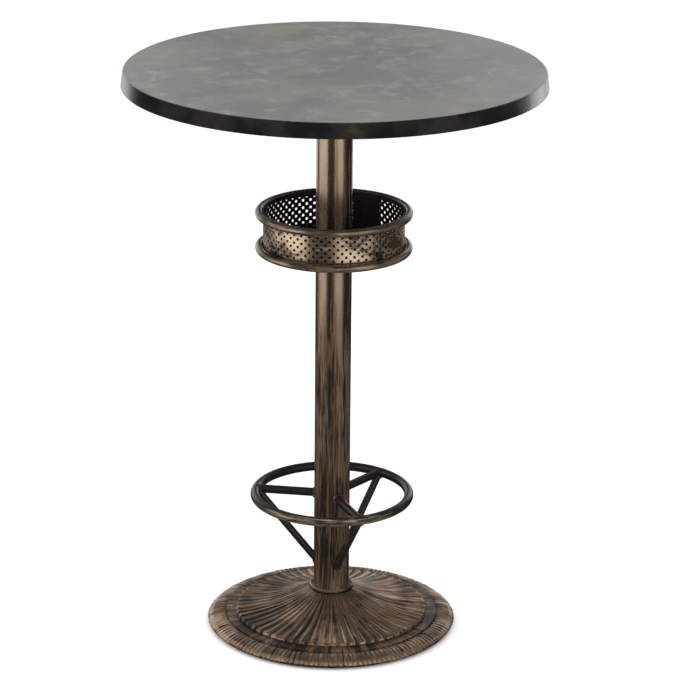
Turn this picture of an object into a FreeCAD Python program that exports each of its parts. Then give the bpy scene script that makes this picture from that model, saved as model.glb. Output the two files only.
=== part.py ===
import FreeCAD, Part
import math
import os
import Sketcher

# Bistro table in millimetres. +Z is up, the floor is Z = 0 and the column stands on the Z axis.

V = FreeCAD.Vector
Z_AXIS = V(0, 0, 1)

# The driving dimensions: alias, value, what it is.
SIZES = [
    ("table_height", 1080, "floor to the top face"),
    ("top_radius", 386, "widest radius of the table top, at its lower edge"),
    ("top_thickness", 30, "height of the top's rim"),
    ("top_board", 22, "thickness of the top over its recess"),
    ("top_lip", 36, "width of the rim's underside"),
    ("top_taper", 3, "how far the rim's upper edge stands in"),
    ("top_round", 5, "radius of the upper edge"),
    ("column_radius", 33.5, "outside of the column"),
    ("column_wall", 2, "wall of the column tube"),
    ("base_radius", 234, "outside of the base casting"),
    ("rim_lift", 3, "floor to the underside of the base rim"),
    ("rim_foot", 6, "how far the rim's underside stands in"),
    ("rim_turn", 7.2, "radius of the rim's lower edge"),
    ("rim_belly", 8, "height of the rim's widest circle"),
    ("rim_top", 18.5, "height of the rim beside the step"),
    ("rim_round", 47, "radius of the rolled rim"),
    ("step_radius", 200, "outer edge of the flat step"),
    ("step_height", 22, "height of the flat step at its edge"),
    ("step_rise", 0.5, "how much the flat step rises towards the dome"),
    ("dome_radius", 180, "outer edge of the dome"),
    ("dome_edge", 28, "height of the dome's edge"),
    ("dome_sweep", 300, "radius of the dome's hollow curve"),
    ("neck_wall", 5.4, "wall of the casting's neck"),
    ("neck_height", 2, "straight part of the neck's outside"),
    ("neck_top", 70, "height of the casting's neck"),
    ("casting_wall", 6, "wall of the casting"),
    ("socket_depth", 12, "depth of the column's socket in the neck"),
    ("socket_floor", 8, "thickness of the socket's floor"),
    ("socket_gap", 0.1, "clearance of the column in its socket"),
    ("collar_width", 7.5, "how far the column collar stands out"),
    ("collar_height", 6, "height of the column collar"),
    ("collar_round", 2, "rounding of the column collar"),
    ("sleeve_gap", 0.05, "clearance of what is pressed or slid on"),
    ("rod_radius", 6, "tie rod"),
    ("rod_gap", 0.5, "clearance of the tie rod in its holes"),
    ("rod_spare", 4, "tie rod beyond each nut"),
    ("nut_size", 19, "tie rod nut across its flats"),
    ("nut_height", 10, "tie rod nut"),
    ("top_washer_radius", 15, "washer under the upper nut"),
    ("base_washer_radius", 24, "clamping washer under the base"),
    ("washer_thickness", 3, "both washers"),
    ("spider_thickness", 5, "spider plate"),
    ("spider_reach", 155, "column axis to the end of an arm"),
    ("spider_width", 38, "width of an arm"),
    ("spider_disc", 62, "radius of the spider's middle"),
    ("plug_depth", 30, "spider plug inside the column"),
    ("plug_wall", 3.5, "wall of the plug"),
    ("plug_floor", 6, "floor of the plug"),
    ("plug_gap", 0.15, "clearance of the plug in the column"),
    ("screw_radius", 3, "shank of a top screw"),
    ("screw_gap", 0.4, "clearance of a screw in the spider"),
    ("screw_head", 5.5, "radius of a screw head"),
    ("screw_head_height", 3.5, "height of a screw head"),
    ("screw_key", 4, "hexagon socket across its flats"),
    ("screw_key_depth", 2, "depth of the hexagon socket"),
    ("screw_inner", 88, "column axis to the inner screw of an arm"),
    ("screw_outer", 138, "column axis to the outer screw of an arm"),
    ("insert_radius", 5, "threaded insert"),
    ("insert_depth", 14, "length of a threaded insert"),
    ("insert_spare", 2, "insert beyond the screw's end"),
    ("foot_ring_radius", 145, "foot ring to the middle of its bar"),
    ("foot_ring_bar", 8.75, "radius of the foot ring's bar"),
    ("foot_ring_height", 258, "floor to the middle of the foot ring"),
    ("spoke_bar", 8, "radius of a spoke"),
    ("brace_bar", 7, "radius of a brace"),
    ("brace_low", 127, "height where a brace's axis meets the column"),
    ("basket_ring_radius", 137.5, "basket ring to the middle of its bar"),
    ("basket_ring_bar", 7.25, "radius of a basket ring's bar"),
    ("basket_low", 744, "floor to the middle of the lower ring"),
    ("basket_high", 810, "floor to the middle of the upper ring"),
    ("band_thickness", 1.5, "sheet of the basket band"),
    ("band_past", 5, "band beyond the middle of each ring"),
    ("seam_thickness", 1.5, "sheet of the seam strip"),
    ("seam_turn", 25, "degrees that the seam strip covers"),
    ("seam_start", 49, "degrees from +X to the seam strip's first edge"),
    ("floor_thickness", 2, "basket floor"),
    ("basket_hub_wall", 4, "wall of the basket's hub"),
    ("basket_hub_height", 26, "height of the basket's hub"),
    ("grub_radius", 3, "grub screw"),
    ("leveller_radius", 170, "column axis to a levelling foot"),
    ("pad_radius", 15, "levelling pad"),
    ("pad_height", 5, "levelling pad"),
    ("pad_chamfer", 1, "edges of the levelling pad"),
    ("pad_socket", 3, "depth of the pad's socket"),
    ("stud_radius", 4, "levelling stud"),
    ("stud_gap", 0.05, "clearance round the stud"),
    ("stud_play", 0.1, "clearance at the stud's shoulders"),
    ("stud_length", 15.4, "stud above its hexagon"),
    ("stud_key", 13, "stud's hexagon across its flats"),
    ("stud_key_height", 3, "stud's hexagon"),
    ("boss_radius", 9, "boss for a levelling stud"),
    ("boss_play", 0.3, "stud's hexagon to the boss when screwed in"),
    ("boss_spare", 1, "bore beyond the end of the stud"),
]

SPOKE_ANGLES = (171, 51, -69)
ARM_ANGLES = (45, 135, 225, 315)
CUT_TOLERANCE = 0.01
GRUB_ANGLES = (30, 150, 270)

doc = FreeCAD.newDocument("bistro_table")
sheet = doc.addObject("Spreadsheet::Sheet", "Sizes")
for row, (alias, value, note) in enumerate(SIZES, start=1):
    sheet.set(f"A{row}", alias)
    sheet.set(f"B{row}", str(value))
    sheet.set(f"C{row}", note)
    sheet.setAlias(f"B{row}", alias)
doc.recompute()


class Size:
    """A length that knows its number and the expression that ties it to the sheet."""

    def __init__(self, value, text):
        self.value = value
        self.text = text

    def __add__(self, other):
        other = as_size(other)
        return Size(self.value + other.value, f"({self.text} + {other.text})")

    def __sub__(self, other):
        other = as_size(other)
        return Size(self.value - other.value, f"({self.text} - {other.text})")

    def __mul__(self, factor):
        return Size(self.value * factor, f"({self.text} * {factor:.9f})")

    def __truediv__(self, divisor):
        return self * (1 / divisor)


def as_size(value):
    return value if isinstance(value, Size) else Size(float(value), f"{value:.6f}")


def size(alias):
    """One driving dimension from the sheet."""
    return Size(float(sheet.get(alias)), f"Sizes.{alias}")


ZERO = as_size(0)
FLATS_PER_CORNER_RADIUS = math.sqrt(3)

# Heights and radii that several pieces share.
board_under = size("table_height") - size("top_board")
spider_under = board_under - size("spider_thickness")
column_inside = size("column_radius") - size("column_wall")
socket_seat = size("neck_top") - size("socket_depth")
socket_under = socket_seat - size("socket_floor")
plug_radius = column_inside - size("plug_gap")
plug_bottom = spider_under - size("plug_depth")
plug_seat = plug_bottom + size("plug_floor")
rod_hole = size("rod_radius") + size("rod_gap")
upper_nut_seat = plug_seat + size("washer_thickness")
lower_nut_seat = socket_under - size("washer_thickness")
screw_hole = size("screw_radius") + size("screw_gap")
screw_length = size("spider_thickness") + size("insert_depth") - size("insert_spare")
band_outside = size("basket_ring_radius") - size("basket_ring_bar") - size("sleeve_gap")
band_inside = band_outside - size("band_thickness")
band_bottom = size("basket_low") - size("band_past")
band_height = size("basket_high") - size("basket_low") + size("band_past") * 2
floor_top = band_bottom + size("floor_thickness")
basket_bore = size("column_radius") + size("sleeve_gap")
basket_hub_outside = basket_bore + size("basket_hub_wall")
key_bottom = size("pad_height") + size("stud_play")
boss_bottom = key_bottom + size("stud_key_height") + size("boss_play")
stud_top = key_bottom + size("stud_key_height") + size("stud_length")
stud_bore_top = stud_top + size("boss_spare")


# ---------------------------------------------------------------- helpers

def bind(thing, **sizes):
    """Ties properties of an object to the sheet."""
    for name, value in sizes.items():
        thing.setExpression(name, as_size(value).text)


def place(thing, x=ZERO, y=ZERO, z=ZERO, axis=Z_AXIS, angle=0.0):
    """Sets the turn of an object and ties its position to the sheet."""
    thing.Placement = FreeCAD.Placement(V(0, 0, 0), FreeCAD.Rotation(axis, angle))
    for name, value in (("x", x), ("y", y), ("z", z)):
        thing.setExpression(f"Placement.Base.{name}", as_size(value).text)
    return thing


def cylinder(radius, height, **where):
    item = doc.addObject("Part::Cylinder", "Cylinder")
    bind(item, Radius=radius, Height=height)
    return place(item, **where)


def hexagon(flats, height, **where):
    item = doc.addObject("Part::Prism", "Hexagon")
    item.Polygon = 6
    bind(item, Circumradius=flats / FLATS_PER_CORNER_RADIUS, Height=height)
    return place(item, **where)


def hoop(label, ring_radius, bar_radius, height):
    item = doc.addObject("Part::Torus", "Hoop")
    bind(item, Radius1=ring_radius, Radius2=bar_radius)
    item.Label = label
    return place(item, z=height)


def joined(parts, label=None):
    item = doc.addObject("Part::MultiFuse", "Joined")
    item.Shapes = parts
    if label:
        item.Label = label
    return item


def cut(base, tool, label=None):
    item = doc.addObject("Part::Cut", "Cut")
    item.Base = base
    item.Tool = tool
    if label:
        item.Label = label
    return item


def group(parts, label):
    item = doc.addObject("Part::Compound", "Group")
    item.Links = parts
    item.Label = label
    return item


def tube(label, outside, inside, height, bottom):
    return cut(cylinder(outside, height, z=bottom), cylinder(inside, height, z=bottom), label)


def plane(body, role):
    return next(item for item in body.Origin.OriginFeatures if item.Role == role)


def body_sketch(body, role, offset=None):
    """A sketch on one of the body's own planes, lifted by an offset."""
    sketch = body.newObject("Sketcher::SketchObject", "Sketch")
    sketch.AttachmentSupport = [(plane(body, role), "")]
    sketch.MapMode = "FlatFace"
    if offset:
        sketch.setExpression("AttachmentOffset.Base.z", offset.text)
    return sketch


def arc_between(start, end, radius, turn):
    """The shorter arc from start to end: turn is 1 for counter-clockwise and -1 for clockwise."""
    chord = end - start
    side = V(-chord.y, chord.x, 0).normalize() * turn
    rise = math.sqrt(radius ** 2 - (chord.Length / 2) ** 2)
    centre = (start + end) * 0.5 + side * rise
    first, last = (start, end) if turn > 0 else (end, start)
    angles = [math.atan2(p.y - centre.y, p.x - centre.x) for p in (first, last)]
    if angles[1] < angles[0]:
        angles[1] += 2 * math.pi
    return Part.ArcOfCircle(Part.Circle(centre, Z_AXIS, radius), angles[0], angles[1])


def pin(sketch, kind, item, end, value):
    """Holds one end of a sketch item at a distance from the sketch's origin."""
    if value is ZERO:
        line = -2 if kind == "DistanceX" else -1
        sketch.addConstraint(Sketcher.Constraint("PointOnObject", item, end, line))
        return
    index = sketch.addConstraint(Sketcher.Constraint(kind, -1, 1, item, end, value.value))
    sketch.setExpression(f"Constraints[{index}]", value.text)


def outline(sketch, points, arcs):
    """A closed outline of (radius, height) points; arcs maps a point's index to (radius, turn)."""
    places = [V(across.value, up.value, 0) for across, up in points]
    ends = []
    for index, start in enumerate(places):
        end = places[(index + 1) % len(places)]
        if index in arcs:
            radius, turn = arcs[index]
            sketch.addGeometry(arc_between(start, end, radius.value, turn), False)
            ends.append((1, 2) if turn > 0 else (2, 1))
        else:
            sketch.addGeometry(Part.LineSegment(start, end), False)
            ends.append((1, 2))
    for index, (_, last) in enumerate(ends):
        after = (index + 1) % len(ends)
        sketch.addConstraint(Sketcher.Constraint("Coincident", index, last, after, ends[after][0]))
    for index, (across, up) in enumerate(points):
        pin(sketch, "DistanceX", index, ends[index][0], across)
        pin(sketch, "DistanceY", index, ends[index][0], up)
    for index, (radius, _) in arcs.items():
        number = sketch.addConstraint(Sketcher.Constraint("Radius", index, radius.value))
        sketch.setExpression(f"Constraints[{number}]", radius.text)


def turned(label, points, arcs=None):
    """A body turned about its Z axis from an outline on its XZ plane."""
    body = doc.addObject("PartDesign::Body", "Turned")
    body.Label = label
    sketch = body_sketch(body, "XZ_Plane")
    outline(sketch, points, arcs or {})
    turning = body.newObject("PartDesign::Revolution", "Revolution")
    turning.Profile = sketch
    turning.ReferenceAxis = (sketch, ["V_Axis"])
    turning.Angle = 360
    doc.recompute()
    return body


def circle_sketch(body, height, radius, places):
    sketch = body_sketch(body, "XY_Plane", height)
    for index, across in enumerate(places):
        circle = Part.Circle(V(across.value, 0, 0), Z_AXIS, radius.value)
        sketch.addGeometry(circle, False)
        pin(sketch, "DistanceX", index, 3, across)
        sketch.addConstraint(Sketcher.Constraint("PointOnObject", index, 3, -1))
        number = sketch.addConstraint(Sketcher.Constraint("Radius", index, radius.value))
        sketch.setExpression(f"Constraints[{number}]", radius.text)
    return sketch


def repeat_round(body, feature, count):
    """Repeats a feature about the Z axis and makes the result the body's tip."""
    pattern = body.newObject("PartDesign::PolarPattern", "Round")
    pattern.Originals = [feature]
    pattern.Axis = (plane(body, "Z_Axis"), [""])
    pattern.Angle = 360
    pattern.Occurrences = count
    body.Tip = pattern
    doc.recompute()


def add_posts(body, bottom, top, radius, places, count):
    """Round posts that rise from one height to another, repeated about the Z axis."""
    before = body.Shape.Volume
    post = body.newObject("PartDesign::Pad", "Post")
    post.Profile = circle_sketch(body, bottom, radius, places)
    bind(post, Length=top - bottom)
    doc.recompute()
    repeat_round(body, post, count)
    if body.Shape.Volume <= before:
        raise ValueError(f"{body.Label}: the posts added nothing")


def bore_up(body, bottom, top, radius, places, count):
    """Blind holes that go up from one height to another, repeated about the Z axis."""
    before = body.Shape.Volume
    hole = body.newObject("PartDesign::Pocket", "Bore")
    hole.Profile = circle_sketch(body, bottom, radius, places)
    hole.Reversed = True
    bind(hole, Length=top - bottom)
    doc.recompute()
    repeat_round(body, hole, count)
    expected = before - math.pi * radius.value ** 2 * (top - bottom).value * len(places) * count
    if abs(body.Shape.Volume - expected) > CUT_TOLERANCE * (before - expected):
        raise ValueError(f"{body.Label}: the holes cut the wrong volume")


def around(radius, angle):
    """A position on a circle about the column, tied to the sheet."""
    turn = math.radians(angle)
    return {"x": radius * math.cos(turn), "y": radius * math.sin(turn)}


# ---------------------------------------------------------------- top and spider

def table_top():
    lower_edge = size("top_radius")
    upper_edge = lower_edge - size("top_taper")
    recess = lower_edge - size("top_lip")
    height = size("table_height")
    low = height - size("top_thickness")
    points = [
        (ZERO, board_under),
        (recess, board_under),
        (recess, low),
        (lower_edge, low),
        (upper_edge, height - size("top_round")),
        (upper_edge - size("top_round"), height),
        (ZERO, height),
    ]
    body = turned("table_top", points, {4: (size("top_round"), 1)})
    places = [size("screw_inner"), size("screw_outer")]
    bore_up(body, board_under, board_under + size("insert_depth"), size("insert_radius"), places,
            len(ARM_ANGLES))
    return place(body, angle=ARM_ANGLES[0])


def screw_places():
    return [around(size(alias), angle) for angle in ARM_ANGLES for alias in ("screw_inner", "screw_outer")]


def top_inserts():
    radius = size("insert_radius") - size("sleeve_gap")
    bore = size("screw_radius") + size("sleeve_gap")
    parts = []
    for where in screw_places():
        sleeve = cylinder(radius, size("insert_depth"), z=board_under, **where)
        parts.append(cut(sleeve, cylinder(bore, size("insert_depth"), z=board_under, **where)))
    return group(parts, "top_inserts")


def top_screws():
    head_under = spider_under - size("screw_head_height")
    parts = []
    for where in screw_places():
        head = cylinder(size("screw_head"), size("screw_head_height"), z=head_under, **where)
        shank = cylinder(size("screw_radius"), screw_length, z=spider_under, **where)
        key = hexagon(size("screw_key"), size("screw_key_depth"), z=head_under, **where)
        parts.append(cut(joined([head, shank]), key))
    return group(parts, "top_screws")


def spider_arm(angle):
    """One arm of the spider: a flat with a rounded end."""
    arm = doc.addObject("Part::Box", "Arm")
    half = size("spider_width") / 2
    reach = size("spider_reach") - half
    bind(arm, Length=reach, Width=size("spider_width"), Height=size("spider_thickness"))
    place(arm, z=spider_under, angle=angle, **around(half, angle - 90))
    end = cylinder(half, size("spider_thickness"), z=spider_under, **around(reach, angle))
    return [arm, end]


def top_spider():
    solids = [cylinder(size("spider_disc"), size("spider_thickness"), z=spider_under)]
    for angle in ARM_ANGLES:
        solids += spider_arm(angle)
    solids.append(cylinder(plug_radius, size("plug_depth") + size("spider_thickness"), z=plug_bottom))
    cup = cylinder(plug_radius - size("plug_wall"), board_under - plug_seat, z=plug_seat)
    rod = cylinder(rod_hole, size("plug_floor"), z=plug_bottom)
    holes = [cylinder(screw_hole, size("spider_thickness"), z=spider_under, **where)
             for where in screw_places()]
    return cut(joined(solids), joined([cup, rod] + holes), "top_spider")


# ---------------------------------------------------------------- column and tie rod

def column_parts():
    length = spider_under - socket_seat
    column = tube("column_tube", size("column_radius"), column_inside, length, socket_seat)
    bottom = lower_nut_seat - size("nut_height") - size("rod_spare")
    top = upper_nut_seat + size("nut_height") + size("rod_spare")
    rod = cylinder(size("rod_radius"), top - bottom, z=bottom)
    rod.Label = "tie_rod"
    return [column, rod] + [
        tie_nut("tie_rod_top_nut", upper_nut_seat),
        tie_nut("tie_rod_base_nut", lower_nut_seat - size("nut_height")),
        tube("tie_rod_top_washer", size("top_washer_radius"), rod_hole, size("washer_thickness"),
             plug_seat),
        tube("tie_rod_base_washer", size("base_washer_radius"), rod_hole, size("washer_thickness"),
             lower_nut_seat),
    ]


def tie_nut(label, bottom):
    bore = size("rod_radius") + size("sleeve_gap")
    solid = hexagon(size("nut_size"), size("nut_height"), z=bottom)
    return cut(solid, cylinder(bore, size("nut_height"), z=bottom), label)


def column_collar():
    inside = size("column_radius") + size("sleeve_gap")
    outside = inside + size("collar_width")
    low = size("neck_top")
    high = low + size("collar_height")
    rounding = size("collar_round")
    points = [
        (inside, low),
        (outside - rounding, low),
        (outside, low + rounding),
        (outside, high - rounding),
        (outside - rounding, high),
        (inside, high),
    ]
    return turned("column_collar", points, {1: (rounding, 1), 3: (rounding, 1)})


# ---------------------------------------------------------------- foot ring

def foot_bar(radius, inner, inner_height, angle):
    """A straight bar from the middle of the foot ring's bar in towards the column."""
    run = inner - size("foot_ring_radius")
    rise = inner_height - size("foot_ring_height")
    length = math.hypot(run.value, rise.value)
    bar = doc.addObject("Part::Cylinder", "Bar")
    bind(bar, Radius=radius)
    bar.setExpression("Height", f"hypot({run.text}; {rise.text})")
    turn = math.radians(angle)
    along = V(run.value * math.cos(turn), run.value * math.sin(turn), rise.value) * (1 / length)
    bar.Placement = FreeCAD.Placement(V(0, 0, 0), FreeCAD.Rotation(Z_AXIS, along))
    start = dict(around(size("foot_ring_radius"), angle), z=size("foot_ring_height"))
    for name, value in start.items():
        bar.setExpression(f"Placement.Base.{name}", value.text)
    return bar


def foot_ring_parts():
    ring = hoop("foot_ring", size("foot_ring_radius"), size("foot_ring_bar"), size("foot_ring_height"))
    core = cylinder(size("column_radius"), size("table_height"))
    parts = [ring]
    for number, angle in enumerate(SPOKE_ANGLES, start=1):
        bar = foot_bar(size("spoke_bar"), ZERO, size("foot_ring_height"), angle)
        spoke = cut(bar, joined([core, ring]), f"foot_ring_spoke_{number}")
        inner = size("column_radius") / 2
        drop = (size("foot_ring_height") - size("brace_low")).value
        slope = drop / (size("foot_ring_radius") - size("column_radius")).value
        low = size("brace_low") - (size("column_radius") - inner) * slope
        bar = foot_bar(size("brace_bar"), inner, low, angle)
        whole_spoke = foot_bar(size("spoke_bar"), ZERO, size("foot_ring_height"), angle)
        brace = cut(bar, joined([core, ring, whole_spoke]), f"foot_ring_brace_{number}")
        parts += [spoke, brace]
    return parts


# ---------------------------------------------------------------- basket

def basket_parts():
    rings = [
        hoop("basket_top_ring", size("basket_ring_radius"), size("basket_ring_bar"), size("basket_high")),
        hoop("basket_bottom_ring", size("basket_ring_radius"), size("basket_ring_bar"), size("basket_low")),
    ]
    band = tube("basket_band", band_outside, band_inside, band_height, band_bottom)
    floor_radius = band_inside - size("sleeve_gap")
    floor = tube("basket_floor", floor_radius, basket_bore, size("floor_thickness"), band_bottom)
    return rings + [band, seam_strip(), floor, basket_hub(), grub_screws()]


def seam_strip():
    outside = band_inside
    bottom = floor_top + size("sleeve_gap")
    height = band_height - size("floor_thickness") - size("sleeve_gap")
    sectors = []
    for radius in (outside, outside - size("seam_thickness")):
        sector = cylinder(radius, height, z=bottom, angle=size("seam_start").value)
        bind(sector, Angle=size("seam_turn"))
        sectors.append(sector)
    return cut(sectors[0], sectors[1], "basket_seam_strip")


def grub_bar(radius, angle):
    """A radial bar from the column's face to the outside of the basket's hub."""
    bar = doc.addObject("Part::Cylinder", "Grub")
    bind(bar, Radius=radius, Height=basket_hub_outside - size("column_radius"))
    turn = math.radians(angle)
    bar.Placement = FreeCAD.Placement(
        V(0, 0, 0), FreeCAD.Rotation(Z_AXIS, V(math.cos(turn), math.sin(turn), 0)))
    where = dict(around(size("column_radius"), angle), z=floor_top + size("basket_hub_height") / 2)
    for name, value in where.items():
        bar.setExpression(f"Placement.Base.{name}", value.text)
    return bar


def basket_hub():
    """The sleeve that grub screws hold to the column."""
    hub = cut(cylinder(basket_hub_outside, size("basket_hub_height"), z=floor_top),
              cylinder(basket_bore, size("basket_hub_height"), z=floor_top))
    bore = size("grub_radius") + size("sleeve_gap")
    return cut(hub, joined([grub_bar(bore, angle) for angle in GRUB_ANGLES]), "basket_hub")


def grub_screws():
    core = cylinder(size("column_radius"), size("table_height"))
    return group([cut(grub_bar(size("grub_radius"), angle), core) for angle in GRUB_ANGLES],
                 "basket_grub_screws")


# ---------------------------------------------------------------- base and levelling feet

def base_casting():
    wall = size("casting_wall")
    socket = size("column_radius") + size("socket_gap")
    neck = socket + size("neck_wall")
    hub = neck + wall
    hub_top = size("neck_top") - wall * 2
    points = [
        (rod_hole, socket_under),
        (hub, socket_under),
        (hub, hub_top),
        (size("dome_radius") - wall, size("dome_edge") - wall),
        (size("step_radius") - wall, size("step_height") - wall),
        (size("base_radius") - size("rim_foot") - wall, size("rim_belly")),
        (size("base_radius") - size("rim_foot") - wall, size("rim_lift")),
        (size("base_radius") - size("rim_foot"), size("rim_lift")),
        (size("base_radius"), size("rim_belly")),
        (size("step_radius"), size("rim_top")),
        (size("step_radius"), size("step_height")),
        (size("dome_radius"), size("step_height") + size("step_rise")),
        (size("dome_radius"), size("dome_edge")),
        (neck, size("neck_top") - size("neck_height")),
        (neck, size("neck_top")),
        (socket, size("neck_top")),
        (socket, socket_seat),
        (rod_hole, socket_seat),
    ]
    arcs = {
        2: (size("dome_sweep"), 1),
        7: (size("rim_turn"), 1),
        8: (size("rim_round"), 1),
        12: (size("dome_sweep"), -1),
    }
    body = turned("base_casting", points, arcs)
    spot = [size("leveller_radius")]
    count = len(ARM_ANGLES)
    add_posts(body, boss_bottom, stud_bore_top, size("boss_radius"), spot, count)
    bore_up(body, boss_bottom, stud_bore_top, size("stud_radius") + size("stud_gap"), spot, count)
    return place(body, angle=ARM_ANGLES[0])


def leveller_pad(number, angle):
    radius = size("pad_radius")
    chamfer = size("pad_chamfer")
    bore = size("stud_radius") + size("stud_gap")
    height = size("pad_height")
    points = [
        (ZERO, ZERO),
        (radius - chamfer, ZERO),
        (radius, chamfer),
        (radius, height - chamfer),
        (radius - chamfer, height),
        (bore, height),
        (bore, height - size("pad_socket")),
        (ZERO, height - size("pad_socket")),
    ]
    body = turned(f"leveller_pad_{number}", points)
    return place(body, **around(size("leveller_radius"), angle))


def leveller_stud(number, angle):
    where = around(size("leveller_radius"), angle)
    neck_bottom = size("pad_height") - size("pad_socket") + size("stud_play")
    shank = cylinder(size("stud_radius"), stud_top - neck_bottom, z=neck_bottom, **where)
    key = hexagon(size("stud_key"), size("stud_key_height"), z=key_bottom, **where)
    return joined([shank, key], f"leveller_stud_{number}")


# ---------------------------------------------------------------- the whole table

nodes = [table_top(), top_inserts(), top_screws(), top_spider()]
nodes += column_parts()
nodes += [column_collar()]
nodes += foot_ring_parts()
nodes += basket_parts()
nodes += [base_casting()]
for number, angle in enumerate(ARM_ANGLES, start=1):
    nodes += [leveller_pad(number, angle), leveller_stud(number, angle)]
doc.recompute()

for item in doc.Objects:
    if "Invalid" in item.State or "Error" in item.State:
        raise ValueError(f"{item.Label} did not rebuild: {item.State}")
for node in nodes:
    if node.Shape.isNull() or not node.Shape.isValid() or not node.Shape.Solids:
        raise ValueError(f"{node.Label} has no valid solid")

os.makedirs("parts", exist_ok=True)
for node in nodes:
    node.Shape.exportStep(os.path.join("parts", f"{node.Label}.step"))
    print(node.Label, len(node.Shape.Solids), round(node.Shape.Volume / 1000, 2), "cm3")
print(len(nodes), "nodes")
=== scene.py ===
import math

import bpy
from mathutils import Matrix, Vector

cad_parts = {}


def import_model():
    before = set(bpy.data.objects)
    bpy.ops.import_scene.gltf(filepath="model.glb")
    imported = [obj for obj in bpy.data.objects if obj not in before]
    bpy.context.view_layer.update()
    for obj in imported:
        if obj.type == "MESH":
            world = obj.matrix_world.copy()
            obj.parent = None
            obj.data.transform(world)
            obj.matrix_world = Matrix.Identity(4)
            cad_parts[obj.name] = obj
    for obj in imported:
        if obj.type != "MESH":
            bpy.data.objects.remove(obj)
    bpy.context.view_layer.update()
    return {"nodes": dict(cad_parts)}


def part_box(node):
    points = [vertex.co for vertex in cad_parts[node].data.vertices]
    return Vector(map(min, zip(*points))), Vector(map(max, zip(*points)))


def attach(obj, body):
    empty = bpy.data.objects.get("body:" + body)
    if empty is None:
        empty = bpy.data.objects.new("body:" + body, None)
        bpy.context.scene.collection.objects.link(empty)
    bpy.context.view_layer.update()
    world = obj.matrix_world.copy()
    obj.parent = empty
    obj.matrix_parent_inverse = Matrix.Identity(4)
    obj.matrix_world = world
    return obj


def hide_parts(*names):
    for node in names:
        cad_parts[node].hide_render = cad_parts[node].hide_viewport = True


# Looks of the bistro table, in metres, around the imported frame. +Z is up and the floor is Z = 0.

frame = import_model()

BODY = "table"
TURN = 2 * math.pi


# ------------------------------------------------------------------ sizes

def mid_height(node):
    low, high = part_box(node)
    return (low.z + high.z) / 2


def half_height(node):
    low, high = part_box(node)
    return (high.z - low.z) / 2


TOP_LOW, TOP_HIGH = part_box("table_top")
TOP_RADIUS = TOP_HIGH.x
COLUMN_LOW, COLUMN_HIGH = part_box("column_tube")
COLUMN_RADIUS = COLUMN_HIGH.x
FOOT_RING_BAR = half_height("foot_ring")
FOOT_RING_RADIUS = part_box("foot_ring")[1].x - FOOT_RING_BAR
FOOT_RING_HEIGHT = mid_height("foot_ring")
BASKET_BAR = half_height("basket_top_ring")
BASKET_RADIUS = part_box("basket_top_ring")[1].x - BASKET_BAR
BAND_LOW, BAND_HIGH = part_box("basket_band")
BAND_RADIUS = BAND_HIGH.x

# Sizes that the frame's boxes do not give.
BAND_SHEET = 0.0015
TOP_TAPER = 0.003  # how much narrower the rim is at its upper edge
TOP_ROUND = 0.005  # rounding of the upper edge
TOP_SOFT = 0.0012  # rounding of the lower edges
TOP_LIP = 0.036  # width of the deep rim, inwards
TOP_BOARD = 0.022  # thickness inside the deep rim
COLUMN_WALL = 0.002
RIM_RADIUS = 0.234  # the base at its widest
RIM_BELLY = 0.008  # height of the widest place
RIM_FOOT = 0.228  # radius of the lower edge
RIM_LIFT = 0.003  # height of the lower edge
RIM_ROLL = 0.047  # radius of the rim's upper curve
RIM_TURN = 0.0072  # radius of the curve that turns under
RIM_TOP = 0.0185  # height of the rim's inner edge
STEP_RADIUS = 0.200
STEP_HEIGHT = 0.022
DOME_RADIUS = 0.180
DOME_EDGE = 0.028  # height where the sweep ends and the scalloped edge turns down
DOME_SWEEP = 0.300  # radius of the sweep from the neck outwards
DOME_LIP = 0.0046  # radius of the scalloped edge
NECK_RADIUS = 0.039
NECK_SHOULDER = 0.068
SKIN = 0.0016  # thickness of the dome's and the rim's skins

SPOKE_ANGLES = (171, 51, -69)
SPOKE_BAR = 0.008
BRACE_BAR = 0.007
BRACE_LOW = 0.127

HOLE_RADIUS = 0.0027
HOLE_COLUMNS = 54
HOLE_ROWS = 9
ROW_PITCH = 0.00724
CELL_STEPS = 6  # edges along one side of a pierced cell


# ------------------------------------------------------------------ node trees

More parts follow.
